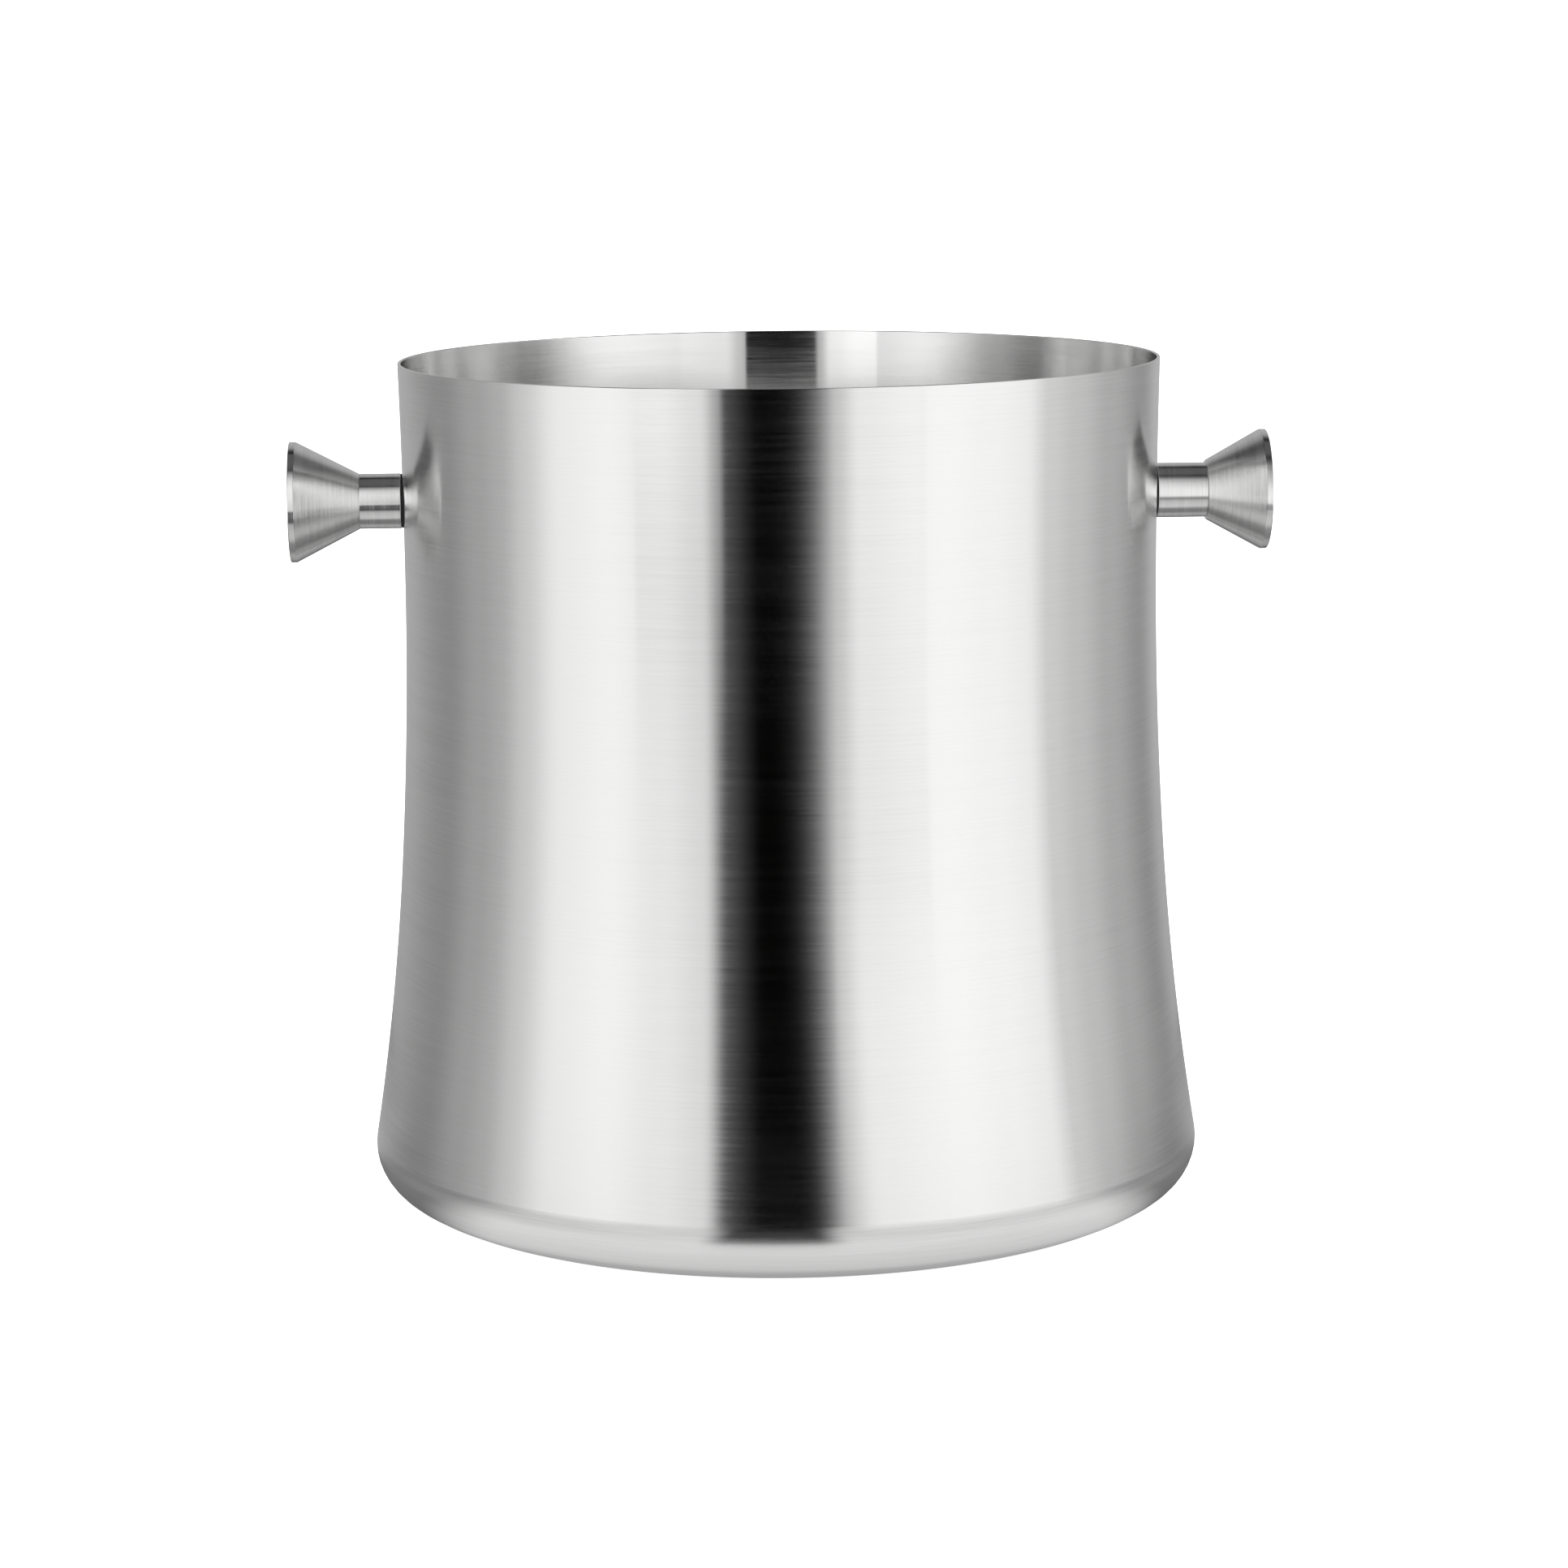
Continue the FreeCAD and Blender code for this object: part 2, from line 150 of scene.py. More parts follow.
class KnobSizes(bpy.types.PropertyGroup):
    """Sizes of the knobs and their fastenings that the frame's boxes don't give."""

    cone_land: length("Cone Land", "Width of the straight edge at the cone's large end", 1.65 * MM)
    cone_edge: length("Cone Edge", "Rounding of the straight edge's two sides", 0.25 * MM)
    left_nose: length("Left Nose", "Radius of the left cone's small end", 7.25 * MM)
    right_nose: length("Right Nose", "Radius of the right cone's small end", 7.9 * MM)
    nose_edge: length("Nose Edge", "Rounding of the cone's small end", 0.12 * MM)
    tapped_radius: length("Tapped Radius", "Radius of the cone's threaded hole", 3 * MM)
    tapped_depth: length("Tapped Depth", "Depth of the cone's threaded hole", 11.5 * MM)
    drill_tip: length("Drill Tip", "Depth of the point that the drill left", 1.7 * MM)
    neck_edge: length("Neck Edge", "Rounding of the neck's ends", 0.2 * MM)
    washer_edge: length("Washer Edge", "Rounding of the washer's rim", 0.2 * MM)
    shank_radius: length("Shank Radius", "Radius of the screw's shank", 2.95 * MM)
    shank_point: length("Shank Point", "Bevel at the end of the screw", 0.6 * MM)
    head_height: length("Head Height", "Height of the screw's domed head", 3.3 * MM)
    head_edge: length("Head Edge", "Straight part of the head at its widest", 0.5 * MM)
    dome_top: length("Dome Top", "Radius of the head's flat top", 3 * MM)
    dome_round: length("Dome Round", "Rounding round the head's flat top", 1.2 * MM)
    socket_radius: length("Socket Radius", "Centre to corner of the hexagon socket", 2.31 * MM)
    socket_depth: length("Socket Depth", "Depth of the hexagon socket", 2 * MM)
    segments: count("Segments", "Faces round a knob", 192)


class Finishes(bpy.types.PropertyGroup):
    """Colours and surface values of the metals and the rubber."""

    steel: colour("Steel", "Reflection colour of the brushed sheet", (0.91, 0.91, 0.905))
    sheet_roughness: share("Sheet Roughness", "Roughness of the brushed sheet", 0.17)
    grain_contrast: share("Grain Contrast", "Difference between light and dark brush lines", 0.24)
    grain_depth: length("Grain Depth", "Depth of the brush lines", 0.004 * MM)
    inner_polish: share("Inner Polish", "How much smoother the middle of the inside is", 0.07)
    inner_lean: share("Inner Lean", "How much the polish of the inside leans up", 0.065)
    turned_steel: colour("Turned Steel", "Reflection colour of the knobs", (0.89, 0.89, 0.885))
    turned_roughness: share("Turned Roughness", "Roughness of the knobs", 0.19)
    screw_steel: colour("Screw Steel", "Reflection colour of screws and washers", (0.75, 0.75, 0.745))
    screw_roughness: share("Screw Roughness", "Roughness of screws and washers", 0.3)
    # The seals' near-black is their rubber and also painted shade in the gap between each neck and the
    # wall.
    rubber_and_gap_shade: colour("Rubber", "Colour of the seals", (0.004, 0.004, 0.004))


class StudioSettings(bpy.types.PropertyGroup):
    """Camera, floor and light."""

    camera_turn: angle("Camera Turn", "How far the camera stands round from the front", -2.53)
    camera_distance: length("Camera Distance", "Level distance from the bucket's axis", 1235.8 * MM)
    camera_height: length("Camera Height", "Height of the camera", 318.3 * MM)
    aim_height: length("Aim Height", "Height that the camera looks at", 110.68 * MM)
    aim_side: length("Aim Side", "Distance right of the axis that the camera looks at", 0.36 * MM)
    camera_roll: angle("Camera Roll", "Tilt of the camera about its line of sight", -0.544)
    lens: number("Lens", "Focal length in millimetres", 107.79)
    panel_light: number("Panel Light", "Brightness of the panels in front", 1.0)
    backdrop_light: number("Backdrop Light", "Brightness of the card behind the bucket", 1.0)
    table_light: number("Table Light", "Brightness of the table round the bucket", 1.0)
    ceiling_light: number("Ceiling Light", "Brightness of the card above the bucket", 0.1)
    room_light: number("Room Light", "Brightness of the white room", 1.25)
    floor_light: number("Floor Light", "How much the floor's paper shines of itself", 0.8)


# ---------------------------------------------------------------- nodes from expressions


class Value:
    """A socket in a Python expression. Each operator adds one Math node to the socket's tree."""

    def __init__(self, builder, socket):
        self.builder = builder
        self.socket = socket

    def maths(self, operation, *terms):
        """The result of a Math node on terms in their order."""
        return self.builder.node("ShaderNodeMath", {"operation": operation}, dict(enumerate(terms)))

    def __add__(self, other):
        return self.maths("ADD", self, other)

    def __radd__(self, other):
        return self.maths("ADD", other, self)

    def __sub__(self, other):
        return self.maths("SUBTRACT", self, other)

    def __rsub__(self, other):
        return self.maths("SUBTRACT", other, self)

    def __mul__(self, other):
        return self.maths("MULTIPLY", self, other)

    def __rmul__(self, other):
        return self.maths("MULTIPLY", other, self)

    def __truediv__(self, other):
        return self.maths("DIVIDE", self, other)

    def __abs__(self):
        return self.maths("ABSOLUTE", self)

    def __floordiv__(self, other):
        return self.maths("FLOOR", self / other)

    def is_below(self, limit):
        """One where the value is below a limit, and nothing elsewhere."""
        return self.maths("LESS_THAN", self, limit)

    def root(self):
        """The square root of the value."""
        return self.maths("SQRT", self)

    def sine(self):
        """The sine of the value, an angle in radians."""
        return self.maths("SINE", self)

    def cosine(self):
        """The cosine of the value, an angle in radians."""
        return self.maths("COSINE", self)


class Builder:
    """Adds nodes to a tree: settings first, then the values and links of the sockets."""

    def __init__(self, tree):
        self.tree = tree

    def node(self, kind, settings=None, inputs=None, output=0):
        """Adds a node and returns one of its outputs."""
        made = self.tree.nodes.new(kind)
        for name, setting in (settings or {}).items():
            setattr(made, name, setting)
        for key, given in (inputs or {}).items():
            if isinstance(given, Value):
                self.tree.links.new(given.socket, made.inputs[key])
            else:
                made.inputs[key].default_value = given
        return Value(self, made.outputs[output])

    def parts(self, vector):
        """The three parts of a vector."""
        split = self.node("ShaderNodeSeparateXYZ", None, {0: vector}).socket.node
        return [Value(self, socket) for socket in split.outputs]

    def joined(self, x, y, z):
        """A vector from its three parts."""
        return self.node("ShaderNodeCombineXYZ", None, {0: x, 1: y, 2: z})


class Recipe(Builder):
    """A material's nodes."""

    def __init__(self, name):
        self.material = bpy.data.materials.new(name)
        self.material.use_nodes = True
        super().__init__(self.material.node_tree)
        self.tree.nodes.clear()

    def place(self):
        """The three parts of the point on the surface, in metres."""
        return self.parts(self.node("ShaderNodeTexCoord", None, None, "Object"))

    def noise(self, vector, detail):
        """Smooth random values around a half."""
        sockets = {"Vector": vector, "Scale": 1.0, "Detail": detail, "Roughness": 0.5}
        return self.node("ShaderNodeTexNoise", None, sockets, "Fac")

    def speckle(self, fineness, detail):
        """Smooth random values, as often below 0 as above it, alike in all directions."""
        x, y, z = self.place()
        return self.noise(self.joined(x * fineness, y * fineness, z * fineness), detail) - 0.5

    def between(self, value, low, high):
        """Nothing where a value is below low, one where it is above high, smooth in between."""
        sockets = {"Value": value, "From Min": low, "From Max": high, "To Min": 0.0, "To Max": 1.0}
        return self.node("ShaderNodeMapRange", {"interpolation_type": "SMOOTHSTEP"}, sockets)

    def bump(self, height, depth, **others):
        """A surface with a fine relief of a given depth."""
        sockets = {"Height": height, "Distance": depth, "Strength": 1.0, **others}
        return self.node("ShaderNodeBump", None, sockets)

    def ramp(self, value, stops):
        """Brightness that goes through stops, each a share of the way and a value."""
        made = self.tree.nodes.new("ShaderNodeValToRGB")
        made.color_ramp.interpolation = "EASE"
        elements = made.color_ramp.elements
        for index, (position, light) in enumerate(stops):
            element = elements[index] if index < len(elements) else elements.new(position)
            element.position = position
            element.color = (light, light, light, 1.0)
        self.tree.links.new(value.socket, made.inputs["Fac"])
        return Value(self, made.outputs["Color"])

    def tinted(self, tint, value):
        """A colour made lighter or darker by a value around one."""
        sockets = {0: self.joined(*tint), "Scale": value}
        return self.node("ShaderNodeVectorMath", {"operation": "SCALE"}, sockets)

    def finish(self, shader):
        """Ends the material with a shader and returns it."""
        end = self.tree.nodes.new("ShaderNodeOutputMaterial")
        self.tree.links.new(shader.socket, end.inputs["Surface"])
        return self.material


class Shape(Builder):
    """A geometry nodes tree with named inputs. It ends in real geometry with one material."""

    def __init__(self, name, inputs):
        super().__init__(bpy.data.node_groups.new(name, "GeometryNodeTree"))
        interface = self.tree.interface
        for label, kind in {**inputs, "Material": "NodeSocketMaterial"}.items():
            interface.new_socket(label, in_out="INPUT", socket_type=kind)
        interface.new_socket("Geometry", in_out="OUTPUT", socket_type="NodeSocketGeometry")
        self.entry = self.tree.nodes.new("NodeGroupInput")

    def given(self, label):
        """The value of a named input."""
        return Value(self, self.entry.outputs[label])

    def finish(self, geometry):
        """Ends the tree and returns it."""
        real = self.node("GeometryNodeRealizeInstances", None, {"Geometry": geometry})
        sockets = {"Geometry": real, "Material": self.given("Material")}
        coated = self.node("GeometryNodeSetMaterial", None, sockets)
        end = self.tree.nodes.new("NodeGroupOutput")
        self.tree.links.new(coated.socket, end.inputs["Geometry"])
        return self.tree


def section_point(shape, section, row):
    """The radius and the level of one point of a section line."""
    sockets = {"Geometry": section, "Value": shape.node("GeometryNodeInputPosition"), "Index": row}
    settings = {"data_type": "FLOAT_VECTOR", "domain": "POINT"}
    radius, _, level = shape.parts(shape.node("GeometryNodeSampleIndex", settings, sockets))
    return radius, level


def turned_tree():
    """Turns a section line, drawn in the XZ plane, round the upright axis."""
    kinds = {"Section": "NodeSocketGeometry", "Segments": "NodeSocketInt"}
    shape = Shape("Turned Piece", kinds)
    section = shape.given("Section")
    segments = shape.given("Segments")
    settings = {"component": "MESH"}
    sockets = {"Geometry": section}
    points = shape.node("GeometryNodeAttributeDomainSize", settings, sockets, "Point Count")
    sockets = {"Size X": 1.0, "Size Y": 1.0, "Vertices X": segments + 1, "Vertices Y": points}
    grid = shape.node("GeometryNodeMeshGrid", None, sockets)
    unrolled = Value(shape, grid.socket.node.outputs["UV Map"])
    index = shape.node("GeometryNodeInputIndex")
    column = (index + 0.5) // points
    radius, level = section_point(shape, section, index - column * points)
    turn = column * FULL_TURN / segments + QUARTER_TURN
    place = shape.joined(radius * turn.cosine(), radius * turn.sine(), level)
    rolled = shape.node("GeometryNodeSetPosition", None, {"Geometry": grid, "Position": place})
    sockets = {"Geometry": rolled, "Name": UV_NAME, "Value": unrolled}
    settings = {"data_type": "FLOAT2", "domain": "CORNER"}
    mapped = shape.node("GeometryNodeStoreNamedAttribute", settings, sockets)
    sockets = {"Geometry": mapped, "Distance": WELD_DISTANCE}
    closed = shape.node("GeometryNodeMergeByDistance", None, sockets)
    return shape.finish(shape.node("GeometryNodeSetShadeSmooth", None, {"Geometry": closed}))


def drilled_tree():
    """Takes a straight bar with a regular outline out of a piece, along any line."""
    kinds = {
        "Piece": "NodeSocketGeometry",
        "Corners": "NodeSocketInt",
        "Radius": "NodeSocketFloat",
        "Depth": "NodeSocketFloat",
        "Middle": "NodeSocketVector",
        "Turn": "NodeSocketRotation",
    }
    shape = Shape("Drilled Piece", kinds)
    sockets = {
        "Vertices": shape.given("Corners"),
        "Radius": shape.given("Radius"),
        "Depth": shape.given("Depth"),
    }
    bar = shape.node("GeometryNodeMeshCylinder", None, sockets)
    sockets = {"Geometry": bar, "Translation": shape.given("Middle"), "Rotation": shape.given("Turn")}
    moved = shape.node("GeometryNodeTransform", None, sockets)
    settings = {"operation": "DIFFERENCE", "solver": "EXACT"}
    sockets = {"Mesh 1": shape.given("Piece"), "Mesh 2": moved}
    return shape.finish(shape.node("GeometryNodeMeshBoolean", settings, sockets))


def tree_named(name, maker):
    """A geometry nodes tree, made once."""
    return bpy.data.node_groups.get(name) or maker()


def add_tree(obj, tree, **values):
    """Gives an object a geometry nodes modifier with the values of its named inputs."""
    modifier = obj.modifiers.new(tree.name, "NODES")
    modifier.node_group = tree
    for item in tree.interface.items_tree:
        label = item.name.lower().replace(" ", "_")
        if item.in_out == "INPUT" and label in values:
            modifier[item.identifier] = values[label]


# ---------------------------------------------------------------- section lines


def run(distance):
    """A straight step of a section line."""
    return (distance, 0.0)


def arc(radius, turn):
    """A round step of a section line, to the left if the turn is positive."""
    return (radius, turn)


def backwards(steps, thickness):
    """The same line one thickness further left, walked the other way."""
    return [
        arc(radius - math.copysign(thickness, turn), -turn) if turn else run(radius)
        for radius, turn in reversed(steps)
    ]


def shares_along(distance, turn, spacing):
    """Shares of a step where the line gets a point, with one close to each end of a long step."""
    pieces = max(math.ceil(distance / spacing), math.ceil(abs(turn) / SHARPEST_STEP))
    shares = {piece / pieces for piece in range(1, pieces + 1)}
    if distance / pieces > 3 * GUARD:
        shares |= {GUARD / distance, 1 - GUARD / distance}
    return sorted(shares)


def along(start, heading, size, turn, part):
    """The point a part of the way along a run or an arc."""
    if not turn:
        return start + size * part * Vector((math.cos(heading), math.sin(heading)))
    radius = math.copysign(size, turn)
    now = heading + turn * part
    sideways = Vector((math.sin(now) - math.sin(heading), math.cos(heading) - math.cos(now)))
    return start + radius * sideways


def follow(start, heading, steps, spacing):
    """Points along runs and tangent arcs."""
    points = [Vector(start)]
    for size, turn in steps:
        corner = points[-1]
        distance = abs(size * turn) if turn else size
        for part in shares_along(distance, turn, spacing):
            points.append(along(corner, heading, size, turn, part))
        heading += turn
    return points


def heading_of(direction):
    """The angle of a direction, counted to the left from level and outwards."""
    return math.atan2(direction.y, direction.x)


def signed_turn(before, after):
    """The turn from one direction to another, to the left if it is positive."""
    turn = heading_of(after) - heading_of(before)
    return (turn + math.pi) % FULL_TURN - math.pi


def outline(corners, spacing=1.0 * MM):
    """Points of a line through corners (radius, level, rounding of the corner)."""
    places = [Vector(corner[:2]) for corner in corners]
    heading = heading_of(places[1] - places[0])
    steps = []
    cut = 0.0
    for before, here, after, corner in zip(places, places[1:], places[2:], corners[1:]):
        turn = signed_turn(here - before, after - here)
        bend = corner[2]
        next_cut = bend * math.tan(abs(turn) / 2)
        steps.append(run((here - before).length - cut - next_cut))
        steps.append(arc(bend, turn))
        cut = next_cut
    steps.append(run((places[-1] - places[-2]).length - cut))
    return follow(places[0], heading, steps, spacing)


# ---------------------------------------------------------------- pieces


def section_object(points):
    """A line of points in the XZ plane, in the order of the section."""
    mesh = bpy.data.meshes.new("section")
    places = [(max(point.x, 0.0), 0.0, point.y) for point in points]
    links = [(point, point + 1) for point in range(len(points) - 1)]
    mesh.from_pydata(places, links, [])
    obj = bpy.data.objects.new("section", mesh)
    bpy.context.scene.collection.objects.link(obj)
    return obj


def plain_mesh(obj, name):
    """Turns what an object's modifiers make into a plain mesh, and removes the object."""
    graph = bpy.context.evaluated_depsgraph_get()
    mesh = bpy.data.meshes.new_from_object(obj.evaluated_get(graph))
    mesh.name = name
    if mesh.materials[0] is None:
        mesh.materials.pop(index=0)
    bpy.data.objects.remove(obj)
    if not mesh.polygons:
        raise RuntimeError("no faces were made for %s" % name)
    return mesh


def add_piece(name, mesh, slot, *nodes):
    """Adds a finished mesh as a piece that stands for CAD nodes."""
    piece = bpy.data.objects.new(name, mesh)
    bpy.context.scene.collection.objects.link(piece)
    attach(piece, "root")
    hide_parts(*nodes)
    return piece


def turned(points, segments, material):
    """An object that is a section line turned round the upright axis."""
    obj = section_object(points)
    tree = tree_named("Turned Piece", turned_tree)
    add_tree(obj, tree, segments=segments, material=material)
    return obj


def drill(obj, material, **values):
    """Takes a straight bar out of an object. The values are the named inputs of the drilled tree."""
    add_tree(obj, tree_named("Drilled Piece", drilled_tree), material=material, **values)


def laid_along_x(mesh, side, seat, height):
    """Turns an upright mesh to point away from the bucket on one side, and moves it to its seat."""
    turn = Matrix.Rotation(SIDES[side] * QUARTER_TURN, 4, "Y")
    mesh.transform(Matrix.Translation((SIDES[side] * seat, 0, height)) @ turn)
    return mesh


def bucket_steps(sizes):
    """Runs and arcs of the outside of the bucket, from the middle of the base to the rim."""
    base_turn = math.acos(1 - sizes.base_lift / (2 * sizes.base_bend))
    base_width = 2 * sizes.base_bend * math.sin(base_turn)
    flare_rise = sizes.height - sizes.rim_round - sizes.waist_height
    flare_turn = math.asin(flare_rise / (sizes.flare_bend + sizes.rim_round))
    waist_radius = sizes.rim_radius - sizes.flare_bend * (1 - math.cos(flare_turn))
    waist_turn = math.asin((sizes.waist_height - sizes.flank_height) / sizes.waist_bend)
    waist_centre = Vector((waist_radius + sizes.waist_bend, sizes.waist_height))
    towards_flank = Vector((-math.cos(waist_turn), -math.sin(waist_turn)))
    flank_centre = waist_centre + (sizes.waist_bend - sizes.flank_bend) * towards_flank
    heel_centre = Vector((sizes.foot_radius, sizes.heel_bend))
    meetings = intersect_sphere_sphere_2d(
        heel_centre,
        sizes.heel_bend - sizes.corner_bend,
        flank_centre,
        sizes.flank_bend + sizes.corner_bend,
    )
    corner_centre = min(meetings, key=lambda point: point.y)
    heel_turn = heading_of(corner_centre - heel_centre) + QUARTER_TURN
    flank_lean = heading_of(flank_centre - corner_centre)
    return [
        run(sizes.foot_radius - sizes.foot_width - base_width),
        arc(sizes.base_bend, -base_turn),
        arc(sizes.base_bend, base_turn),
        run(sizes.foot_width),
        arc(sizes.heel_bend, heel_turn),
        arc(sizes.corner_bend, QUARTER_TURN + flank_lean - heel_turn),
        arc(sizes.flank_bend, waist_turn - flank_lean),
        arc(sizes.waist_bend, -waist_turn),
        arc(sizes.flare_bend, -flare_turn),
    ]


def bucket_section(sizes):
    """The whole section of the sheet: outside, rounded rim and inside."""
    outside = bucket_steps(sizes)
    lean = sum(turn for _, turn in outside)
    over_rim = [
        arc(sizes.rim_round, math.pi - lean),
        run(sizes.wall - 2 * sizes.rim_round),
        arc(sizes.rim_round, lean),
    ]
    steps = outside + over_rim + backwards(outside, sizes.wall)
    return follow((0.0, sizes.base_lift), 0.0, steps, spacing=3.2 * MM)


def knob_height():
    """Height of the knobs' axis above the floor."""
    low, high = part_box("left_cone_head")
    return (low.z + high.z) / 2


def reach(node, side):
    """Nearest and furthest distance of a CAD node from the bucket's axis, and its radius."""
    low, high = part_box(node)
    near, far = sorted((SIDES[side] * low.x, SIDES[side] * high.x))
    return near, far, (high.z - low.z) / 2


def make_wall(scene):
    """The bucket's sheet with its two screw holes."""
    sizes = scene.bucket_sizes
    material = finish_of("brushed_sheet", scene)
    obj = turned(bucket_section(sizes), sizes.segments, material)
    drill(
        obj,
        material,
        corners=64,
        radius=sizes.hole_radius,
        depth=2 * CAD_HIGH.x,
        middle=(0.0, 0.0, knob_height()),
        turn=(0.0, QUARTER_TURN, 0.0),
    )
    add_piece("bucket_wall", plain_mesh(obj, "bucket_wall"), "brushed_sheet", "bucket_shell")


def make_cone(scene, side):
    """A cone head with a blind hole in its small end."""
    sizes = scene.knob_sizes
    node = side + "_cone_head"
    near, far, radius = reach(node, side)
    nose = getattr(sizes, side + "_nose")
    flank = far - near - sizes.cone_land
    corners = [
        (0.0, sizes.tapped_depth + sizes.drill_tip, 0.0),
        (sizes.tapped_radius, sizes.tapped_depth, sizes.nose_edge),
        (sizes.tapped_radius, 0.0, sizes.nose_edge),
        (nose, 0.0, sizes.nose_edge),
        (radius, flank, sizes.cone_edge),
        (radius, far - near, sizes.cone_edge),
        (0.0, far - near, 0.0),
    ]
    obj = turned(outline(corners), sizes.segments, finish_of("turned_steel", scene))
    mesh = laid_along_x(plain_mesh(obj, node), side, near, knob_height())
    add_piece(side + "_knob_cone", mesh, "turned_steel", node)


def ring_outline(bore, radius, thickness, edge):
    """A flat ring or a tube, from the middle of its bore round to the same point."""
    return outline(
        [
            (bore, thickness / 2, 0.0),
            (bore, 0.0, edge),
            (radius, 0.0, edge),
            (radius, thickness, edge),
            (bore, thickness, edge),
            (bore, thickness / 2, 0.0),
        ]
    )


def make_ring(scene, side, part, edge, slot):
    """A neck tube or a washer, in the place of its CAD node."""
    node = side + "_" + part
    name = side + "_knob_" + part.split("_")[0]
    near, far, radius = reach(node, side)
    points = ring_outline(scene.bucket_sizes.hole_radius, radius, far - near, edge)
    obj = turned(points, scene.knob_sizes.segments, finish_of(slot, scene))
    mesh = laid_along_x(plain_mesh(obj, name), side, near, knob_height())
    add_piece(name, mesh, slot, node)


def make_screw(scene, side):
    """A screw with a domed head and a hexagon socket."""
    sizes = scene.knob_sizes
    node = side + "_screw"
    near, far, radius = reach(node, side)
    total = far - near
    shank = total - sizes.shank_point
    corners = [
        (0.0, 0.0, 0.0),
        (sizes.dome_top, 0.0, sizes.dome_round),
        (radius, sizes.head_height - sizes.head_edge, sizes.nose_edge),
        (radius, sizes.head_height, sizes.nose_edge),
        (sizes.shank_radius, sizes.head_height, sizes.nose_edge),
        (sizes.shank_radius, shank, sizes.nose_edge),
        (sizes.shank_radius - sizes.shank_point, total, sizes.nose_edge),
        (0.0, total, 0.0),
    ]
    material = finish_of("screw_steel", scene)
    obj = turned(outline(corners, spacing=0.6 * MM), sizes.segments // 2, material)
    drill(obj, material, corners=6, radius=sizes.socket_radius, depth=2 * sizes.socket_depth)
    mesh = laid_along_x(plain_mesh(obj, node), side, near, knob_height())
    add_piece(side + "_knob_screw", mesh, "screw_steel", node)


def finish_seals(scene, side):
    """Gives the two seals of one knob their black rubber, whose near-black on the outer seal also stands
    for painted shade in the gap between the neck and the wall. They keep the frame's own meshes.
    """
    for part in ("outer_seal", "inner_seal"):
        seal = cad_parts[side + "_" + part]
        seal.data.materials.clear()
        seal.data.materials.append(finish_of("seal_rubber", scene))


# ---------------------------------------------------------------- materials


def metal(recipe, tint, roughness, normal, anisotropy):
    """A metal whose fine lines run round the piece, so that its highlights stretch across them."""
    lines = recipe.node("ShaderNodeTangent", {"direction_type": "UV_MAP", "uv_map": UV_NAME})
    sockets = {
        "Base Color": tint,
        "Metallic": 1.0,
        "Roughness": roughness,
        "Anisotropic": anisotropy,
        "Anisotropic Rotation": 0.25,
        "Normal": normal,
        "Tangent": lines,
    }
    return recipe.node("ShaderNodeBsdfPrincipled", None, sockets)


def brush_lines(recipe, first, second, across, lengthwise, fine):
    """Random values, as often below 0 as above it, in fine and broader lines round an axis.

    The first and second parts of the place lie square to the axis, and across counts over the lines.
    """
    slow = lengthwise / 3
    broad = fine / 5
    thin = recipe.noise(recipe.joined(first * lengthwise, second * lengthwise, across * fine), 3.0)
    wide = recipe.noise(recipe.joined(first * slow, second * slow, across * broad), 2.0)
    return thin * 0.6 + wide * 0.4 - 0.5


def brushed_sheet(name, finishes):
    """Sheet brushed round the bucket: level lines on the wall and rings on the base."""
    recipe = Recipe(name)
    x, y, z = recipe.place()
    across = z + (x * x + y * y).root()
    lines = brush_lines(recipe, x, y, across, lengthwise=40, fine=1700)
    tint = recipe.tinted(finishes.steel, 1 + lines * finishes.grain_contrast)
    facing = recipe.node("ShaderNodeNewGeometry", None, None, "Normal")
    facing_x, facing_y, facing_z = recipe.parts(facing)
    inside = (x * facing_x + y * facing_y).is_below(0.0)
    polished = inside * recipe.between(abs(facing_y), low=0.78, high=0.9)
    roughness = finishes.sheet_roughness - polished * finishes.inner_polish + lines * 0.16
    leaning = recipe.joined(facing_x, facing_y, facing_z + polished * finishes.inner_lean)
    even = recipe.node("ShaderNodeVectorMath", {"operation": "NORMALIZE"}, {0: leaning})
    normal = recipe.bump(lines, finishes.grain_depth, Normal=even)
    return recipe.finish(metal(recipe, tint, roughness, normal, anisotropy=1.0))


def turned_steel(name, finishes):
    """Solid steel with the fine rings that a lathe tool leaves."""
    recipe = Recipe(name)
    x, y, z = recipe.place()
    up = z - knob_height()
    across = abs(x) + (y * y + up * up).root()
    lines = brush_lines(recipe, y, up, across, lengthwise=90, fine=2200)
    tint = recipe.tinted(finishes.turned_steel, 1 + lines * (2 * finishes.grain_contrast))
    roughness = finishes.turned_roughness + lines * 0.2
    normal = recipe.bump(lines, finishes.grain_depth)
    return recipe.finish(metal(recipe, tint, roughness, normal, anisotropy=0.9))


def screw_steel(name, finishes):
    """Plain steel of bought screws and washers, slightly uneven."""
    recipe = Recipe(name)
    speckle = recipe.speckle(2500, 3.0)
    tint = recipe.tinted(finishes.screw_steel, 1 + speckle * 0.25)
    roughness = finishes.screw_roughness + speckle * 0.2
    normal = recipe.bump(speckle, 0.01 * MM)
    return recipe.finish(metal(recipe, tint, roughness, normal, anisotropy=0.3))


def seal_rubber(name, finishes):
    """Matt black rubber with a fine uneven skin, so dark that it also paints the shade in the gap
    between a neck and the wall.
    """
    recipe = Recipe(name)
    skin = recipe.speckle(3000, 3.0)
    sockets = {
        "Base Color": recipe.tinted(finishes.rubber_and_gap_shade, 1 + skin * 0.5),
        "Roughness": 0.7 + skin * 0.2,
        "Normal": recipe.bump(skin, 0.02 * MM),
    }
    return recipe.finish(recipe.node("ShaderNodeBsdfPrincipled", None, sockets))


